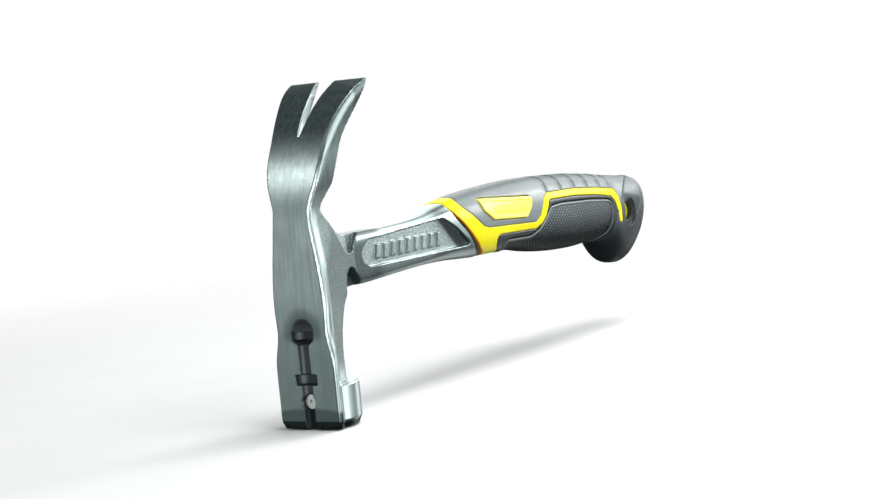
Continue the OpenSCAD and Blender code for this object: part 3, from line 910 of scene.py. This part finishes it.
class Shader(Nodes):
    """A material's nodes, with short helpers for its noise, weights and mixes."""

    def __init__(self, name):
        self.material = bpy.data.materials.new(name)
        self.material.use_nodes = True
        super().__init__(self.material.node_tree)
        self.surface = self.nodes["Principled BSDF"]
        self.place = self.add("TexCoord").outputs["Object"]

    def noise(self, size, stretch=(1, 1, 1), detail=3.0, roughness=0.5):
        """Noise with features of about size mm, stretched along an axis by a factor."""
        scale = [1000 / (size * s) for s in stretch]
        mapping = self.add("Mapping", Vector=self.place, Scale=scale)
        texture = self.add("TexNoise", Vector=mapping.outputs["Vector"], Scale=1.0, Detail=detail,
                           Roughness=roughness)
        return texture.outputs["Fac"]

    def weight(self, label):
        node = self.add("Attribute")
        node.attribute_name = label
        return node.outputs["Fac"]

    def times(self, a, b):
        node = self.add("Math")
        node.operation = "MULTIPLY"
        self.put(node.inputs[0], a)
        self.put(node.inputs[1], b)
        return node.outputs[0]

    def mix(self, factor, a, b):
        """Colour between a and b."""
        node = self.add("Mix", Factor=factor)
        node.data_type = "RGBA"
        for key, colour in (("A", a), ("B", b)):
            socket = [s for s in node.inputs if s.name == key and s.type == "RGBA"][0]
            self.put(socket, colour if hasattr(colour, "is_output") else (*colour, 1.0))
        return [s for s in node.outputs if s.type == "RGBA"][0]

    def blend(self, factor, a, b):
        """Number between a and b."""
        node = self.add("Mix", Factor=factor)
        self.put(node.inputs[2], a)
        self.put(node.inputs[3], b)
        return node.outputs[0]

    def bump(self, height, distance, strength, below=None):
        """Normal bumped by up to distance mm, over the bump below it."""
        node = self.add("Bump", Strength=strength, Distance=distance * MM, Height=height)
        if below is not None:
            self.put(node.inputs["Normal"], below)
        return node.outputs["Normal"]

    def set(self, **inputs):
        self.fill(self.surface, inputs)
        return self.material


# Colours are linear RGB. The forging is mixed from dull and bright steel; the others lie over it.
# Streak and grain are the steel's own; the other tones are painted shade and dark reflections.
STEEL_DULL, STEEL_BRIGHT = (0.46, 0.55, 0.545), (0.56, 0.66, 0.655)
STEEL_TONES = {"streak": (0.35, 0.43, 0.425), "grain": (0.20, 0.245, 0.24),
               "shade_and_halo": (0.06, 0.06, 0.075), "foot": (0.03, 0.04, 0.042),
               "claw": (0.19, 0.25, 0.255), "shade": (0.16, 0.2, 0.197), "low": (0.22, 0.29, 0.285)}


def forged_steel():
    """Forged steel: brushed on the crown, grainy on the cheeks, with painted shade and dark
    reflections.
    """
    s = Shader("forged_steel")
    brushed, grain, shade_and_halo = [s.weight(label) for label in ("brushed", "grain", "shade_and_halo")]
    lines = s.noise(0.28, (1, 1, 40), detail=2)
    broad = s.noise(1.6, (1, 1, 25), detail=2)
    pits = s.noise(0.9, detail=5, roughness=0.65)
    cloud = s.noise(14, detail=3)
    # The foot, claw, shade and low layers, and the darkening of the ramp, notch and nail groove, are
    # painted shade and dark reflections
    amounts = {
        "streak": s.times(s.span(broad, 0.35, 0.65, 0, 0.6), brushed),
        "grain": s.times(s.span(pits, 0.42, 0.6, 0.75, 0.12), grain),
        "shade_and_halo": s.times(shade_and_halo, 0.8),
        "foot": s.times(s.weight("foot"), 0.97),
        "claw": s.times(s.weight("claw"), s.span(broad, 0.3, 0.7, 0.5, 0.9)),
        "shade": s.times(s.weight("shade"), s.span(pits, 0.42, 0.6, 1.0, 0.78)),
        "low": s.times(s.weight("low"), 0.6)}
    colour = s.mix(s.span(cloud, 0.35, 0.65, 0, 1), STEEL_DULL, STEEL_BRIGHT)
    for layer, amount in amounts.items():
        colour = s.mix(amount, colour, STEEL_TONES[layer])
    plain_rough = s.span(cloud, 0.3, 0.7, 0.27, 0.36)
    brushed_rough = s.span(lines, 0.3, 0.7, 0.30, 0.42)
    rough = s.blend(brushed, plain_rough, brushed_rough)
    rough = s.blend(grain, rough, 0.46)
    rough = s.blend(shade_and_halo, rough, 0.55)
    fine = s.bump(lines, 0.03, s.times(brushed, 0.5))
    rugged = s.bump(pits, 0.22, s.times(grain, 0.8), fine)
    worn = s.bump(s.noise(4.0, detail=2), 0.12, 0.12, rugged)
    return s.set(Base_Color=colour, Metallic=1.0, Roughness=rough, Normal=worn)


def moulded(name, light, dark, roughness=0.42, marks=None, specular=0.5, painted_glow=0.0,
            grain_size=0.35, grain_depth=0.03):
    """Moulded polymer with a fine texture and a slow drift of tone. Marks names weights of the piece
    and the colour each one brings in; where the low weight paints shade, it is less shiny too."""
    s = Shader(name)
    marks = marks or {}
    drift = s.noise(22, detail=2)
    grain = s.noise(grain_size, detail=2)
    speck = s.noise(2.5, detail=4)
    colour = s.mix(s.span(drift, 0.35, 0.65, 0, 1), dark, light)
    colour = s.mix(s.span(speck, 0.5, 0.75, 0, 0.25), colour, tuple(c * 0.8 for c in dark))
    for label, tone in marks.items():
        colour = s.mix(s.weight(label), colour, tone)
    rough = s.span(speck, 0.3, 0.7, roughness - 0.05, roughness + 0.06)
    if "low" in marks:
        specular = s.blend(s.weight("low"), specular, 0.15 * specular)
    # Painted light: a faint emission that makes the colour shine though the piece is no lamp
    if painted_glow:
        s.set(Emission_Color=colour, Emission_Strength=painted_glow)
    return s.set(Base_Color=colour, Roughness=rough, Normal=s.bump(grain, grain_depth, 0.6),
                 Specular_IOR_Level=specular)


def magnet_nickel():
    s = Shader("magnet_nickel")
    turned = s.noise(0.5, detail=3)
    colour = s.mix(s.span(turned, 0.4, 0.6, 0, 1), (0.78, 0.79, 0.77), (0.88, 0.89, 0.87))
    return s.set(Base_Color=colour, Metallic=1.0, Roughness=s.span(turned, 0.3, 0.7, 0.25, 0.38),
                 Normal=s.bump(turned, 0.02, 0.4))


# Rigid yellow polymer. Along the front edge of the collar, next to the ring, an orange-brown shadow
# is painted on; the line is the fine parting line of the mould, with the shade of its groove painted
# dark. A faint painted emission brightens the yellow, though it is no lamp.
YELLOW = dict(roughness=0.34, specular=0.2, painted_glow=0.05, grain_size=0.5, grain_depth=0.012,
              marks={"edge": (0.55, 0.20, 0.0), "line": (0.10, 0.09, 0.02)})
# Polymers: their light and dark tones, and where it matters the colours of their marks
POLYMERS = {
    "yellow_core": dict(light=(0.92, 0.83, 0.004), dark=(0.88, 0.77, 0.003), **YELLOW),
    # Badges: a paler, whiter yellow than the core, painted for the highlights on them
    "yellow_badge": dict(light=(0.93, 0.86, 0.16), dark=(0.90, 0.82, 0.11), **YELLOW),
    "grey_shell": dict(light=(0.18, 0.212, 0.218), dark=(0.15, 0.178, 0.184),
                       marks={"line": (0.03, 0.036, 0.038)}, specular=0.8),
    "dark_frame": dict(light=(0.026, 0.033, 0.035), dark=(0.020, 0.026, 0.028), roughness=0.38),
    # The pad's low weight paints shade towards the belly, and its rim weight a painted highlight
    # along the raised lip; the dots' low weight paints the same shade
    "textured_pad": dict(light=(0.075, 0.094, 0.098), dark=(0.06, 0.077, 0.081),
                         marks={"low": (0.004, 0.006, 0.007), "rim": (0.17, 0.205, 0.205)},
                         specular=0.7),
    "pad_dot": dict(light=(0.24, 0.293, 0.298), dark=(0.20, 0.246, 0.25),
                    marks={"low": (0.022, 0.028, 0.030)}, specular=0.7),
    # The cap's low weight paints shade on its lower part, and its recess weight paints shade in the
    # recess round the lanyard hole
    "cap_rubber": dict(light=(0.15, 0.182, 0.188), dark=(0.125, 0.152, 0.158),
                       marks={"low": (0.021, 0.027, 0.030), "recess": (0.03, 0.036, 0.04)},
                       specular=0.8),
    "ring_rubber": dict(light=(0.02, 0.02, 0.025), dark=(0.014, 0.014, 0.018), roughness=0.5),
    "damper_rubber": dict(light=(0.03, 0.03, 0.034), dark=(0.02, 0.02, 0.024), roughness=0.6)}


def make_materials():
    materials = {name: moulded(name, **look) for name, look in POLYMERS.items()}
    materials["forged_steel"] = forged_steel()
    materials["magnet_nickel"] = magnet_nickel()
    return materials


# ------------ pieces
def finish_piece(piece, material, slot, *nodes):
    piece.data.materials.append(material)
    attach(piece, "root")
    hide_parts(*nodes)


def collar_marks(points, normals):
    x, y, z = points.T
    front = Outline([(330, 30)] + COLLAR_FRONT[::-1] + [(330, 100)], GRIP_LOW, GRIP_HIGH)
    # Edge: an orange-brown shadow painted along the front edge of the collar
    edge = (1 - ease(-front(x, z), 0.2, 1.1)) * (1 - ease(z, 80, 85))
    return {"edge": edge, "line": mould_mark(x, z)}


def shell_marks(points, normals):
    x, y, z = points.T
    return {"line": mould_mark(x, z)}


def pad_shade(z):
    """The pad's turn into shadow towards the belly."""
    return 1 - ease(z, 56, 76)


def pad_marks(points, normals):
    x, y, z = points.T
    # Rim: painted highlight along the pad's lip; low: painted shade towards the belly
    return {"rim": ease(pad_side(x, z), -1.6, -0.7) * ease(envelope(x, y, z), -0.8, -0.2),
            "low": pad_shade(z)}


def cap_marks(points, normals):
    x, y, z = points.T
    # Low: painted shade on the lower cap; recess: painted shade in the recess round the hole
    return {"low": 1 - ease(z - 0.12 * (x - 280), 50, 84),
            "recess": ease(-recess_of_hole(x, z), -0.1, 0.4) * 0.7}


# Each piece: the CAD node it replaces, its field, its box and its cell size in mm, the weights for
# its material, and the slot and material
PIECES = (
    ("forged_body", forged_body, (-15, -21.5, -1.1), (128, 21.5, 147.5), 0.58, forged_marks,
     "forged_steel"),
    ("nail_magnet", nail_magnet, (-13, -4, 7.6), (-2.6, 4, 15.8), 0.25, None, "magnet_nickel"),
    ("core_sleeve", core_sleeve, (96, -17, 44), (296, 17, 93), 0.52, collar_marks, "yellow_core"),
    ("back_shell", back_shell, (105, -17, 64), (301, 17, 93), 0.5, shell_marks, "grey_shell"),
    ("grip_frame", grip_frame, (134, -17, 46), (271, 17, 82), 0.5, None, "dark_frame"),
    ("finger_pad", finger_pad, (140, -17, 46), (263, 17, 78), 0.5, pad_marks, "textured_pad"),
    ("butt_cap", butt_cap, (239, -16, 33), (312, 16, 92), 0.42, cap_marks, "cap_rubber"),
    ("shock_ring", shock_ring, (94, -16, 50), (128, 16, 93), 0.5, None, "ring_rubber"),
    ("badge_left", badge, (120, -17, 70), (175, -9, 88), 0.36, None, "yellow_badge"),
    ("badge_right", badge, (120, 9, 70), (175, 17, 88), 0.36, None, "yellow_badge"))


def build_pieces(materials):
    for node, field, low, high, step, marks, slot in PIECES:
        piece = carve(node + "_detail", field, low, high, step, marks)
        finish_piece(piece, materials[slot], slot, node)
        if node == "finger_pad":
            finish_piece(pad_dots(), materials["pad_dot"], slot, node)


def dress_damper(material):
    """The damper is inside, so its CAD node stays and only gets its material."""
    for piece in bpy.data.objects:
        if piece.name == "tang_damper" and piece.type == "MESH":
            piece.data.materials.clear()
            piece.data.materials.append(material)


# ------------ setting
MIDDLE = (0.12, 0.0, 0.07)

# Area lights, in metres and watts: where each stands, what it aims at, its size and its power.
# The softboxes light the whole hammer. The cards and strips are there to be mirrored in the steel.
LIGHTS = {
    "top_softbox": ((0.16, -0.25, 0.9), MIDDLE, (0.8, 0.35), 6),
    "crown_softbox": ((-0.85, 0.68, 0.70), (0, 0, 0.1), (0.36, 0.17), 1.5),
    "crown_fill": ((-0.9, 0.8, 0.0), (0, 0, 0.06), (0.6, 0.45), 0.45),
    "butt_softbox": ((1.2, -0.1, 0.75), MIDDLE, (0.5, 0.5), 2.6),
    "shell_panel": ((1.2, -0.62, 0.5), MIDDLE, (0.5, 0.4), 9),
    "side_softbox": ((0.75, -1.19, 0.25), MIDDLE, (0.75, 0.9), 3.0),
    "back_softbox": ((1.1, 0.83, 0.30), MIDDLE, (0.7, 0.35), 1.2),
    "poll_card": ((1.2, -0.25, -0.2), (0, 0, 0.02), (0.3, 0.3), 0.6),
    "poll_strip": ((0.38, -1.1, -0.2), (0, 0, 0.01), (0.25, 0.22), 0.9),
    "neck_back": ((0.95, 0.6, 0.6), (0.08, 0, 0.08), (0.4, 0.35), 0.9),
    "ledge_card": ((1.2, 0.22, 0.12), (0.02, 0, 0.07), (0.2, 0.2), 1.0),
    "claw_strip": ((0.06, -0.6, 0.95), (0, 0, 0.13), (0.35, 0.12), 0.8),
    "table_card": ((0.9, 0.0, -0.6), MIDDLE, (0.6, 0.35), 0.7),
    "edge_strip": ((-0.65, -0.95, 0.0), MIDDLE, (0.25, 0.5), 3.0),
    "fill": ((-0.25, -1.25, 0.35), MIDDLE, (0.9, 0.9), 7)}
NOT_MIRRORED = ("fill",)


def add_light(name, place, target, size, power):
    data = bpy.data.lights.new(name, "AREA")
    data.shape = "RECTANGLE"
    data.size, data.size_y = size
    data.energy = power
    light = add_aimed(name, data, place, target)
    light.visible_glossy = name not in NOT_MIRRORED


FLOOR_X, FLOOR_Z = 0.1, -0.0004
FLOOR_RADIUS = 0.85
FLOOR_SIDES = 64
FLOOR_FADE = (0.25, 0.8)


def add_floor():
    """A wide pale floor that fades out into the white background."""
    turns = [2 * math.pi * k / FLOOR_SIDES for k in range(FLOOR_SIDES)]
    rim = [(FLOOR_X + FLOOR_RADIUS * math.cos(turn), FLOOR_RADIUS * math.sin(turn), FLOOR_Z)
           for turn in turns]
    mesh = bpy.data.meshes.new("floor")
    mesh.from_pydata(rim, [], [tuple(range(FLOOR_SIDES))])
    floor = bpy.data.objects.new("floor", mesh)
    bpy.context.collection.objects.link(floor)
    s = Shader("pale_floor")
    spread = s.noise(60, detail=2)
    colour = s.mix(s.span(spread, 0.3, 0.7, 0, 1), (0.92, 0.92, 0.92), (0.94, 0.94, 0.94))
    s.set(Base_Color=colour, Roughness=0.7, Specular_IOR_Level=0.1)
    length = s.add("VectorMath")
    length.operation = "LENGTH"
    s.put(length.inputs[0], s.place)
    fade = s.span(length.outputs["Value"], *FLOOR_FADE, 0.0, 1.0)
    faded = s.mix_shaders(fade, s.surface, s.add("BsdfTransparent"))
    s.put(s.nodes["Material Output"].inputs["Surface"], faded)
    floor.visible_glossy = False
    floor.visible_diffuse = False
    floor.visible_shadow = False
    mesh.materials.append(s.material)


# Brightness of the surroundings by height, from straight below (0) to straight above (1)
SKY = ((0.0, 0.05), (0.26, 0.08), (0.38, 0.15), (0.44, 0.27), (0.52, 0.32), (0.62, 0.26),
       (0.70, 0.07), (0.9, 0.04), (1.0, 0.4))
SKY_TINT = 0.88


def add_world():
    """Grey surroundings for the reflections, and white where the camera sees past the floor."""
    world = bpy.data.worlds.new("studio")
    bpy.context.scene.world = world
    world.use_nodes = True
    w = Nodes(world.node_tree)
    w.nodes.clear()
    direction = w.add("TexCoord").outputs["Generated"]
    upwards = w.add("SeparateXYZ", Vector=direction).outputs["Z"]
    ramp = w.add("ValToRGB", Fac=w.span(upwards, -1.0, 1.0, 0.0, 1.0))
    elements = ramp.color_ramp.elements
    elements[0].position, elements[1].position = SKY[0][0], SKY[-1][0]
    for position, _ in SKY[1:-1]:
        elements.new(position)
    rising = sorted(elements, key=lambda element: element.position)
    for element, (_, grey) in zip(rising, SKY):
        element.color = (grey * SKY_TINT, grey, grey, 1.0)
    studio = w.add("Background", Color=ramp.outputs["Color"])
    white = w.add("Background", Color=(1, 1, 1, 1))
    seen = w.add("LightPath").outputs["Is Camera Ray"]
    w.add("OutputWorld", Surface=w.mix_shaders(seen, studio, white))


def add_setting():
    bpy.context.scene.view_settings.view_transform = "Standard"
    add_world()
    add_floor()
    for name, light in LIGHTS.items():
        add_light(name, *light)


add_camera()
palette = make_materials()
build_pieces(palette)
dress_damper(palette["damper_rubber"])
add_setting()
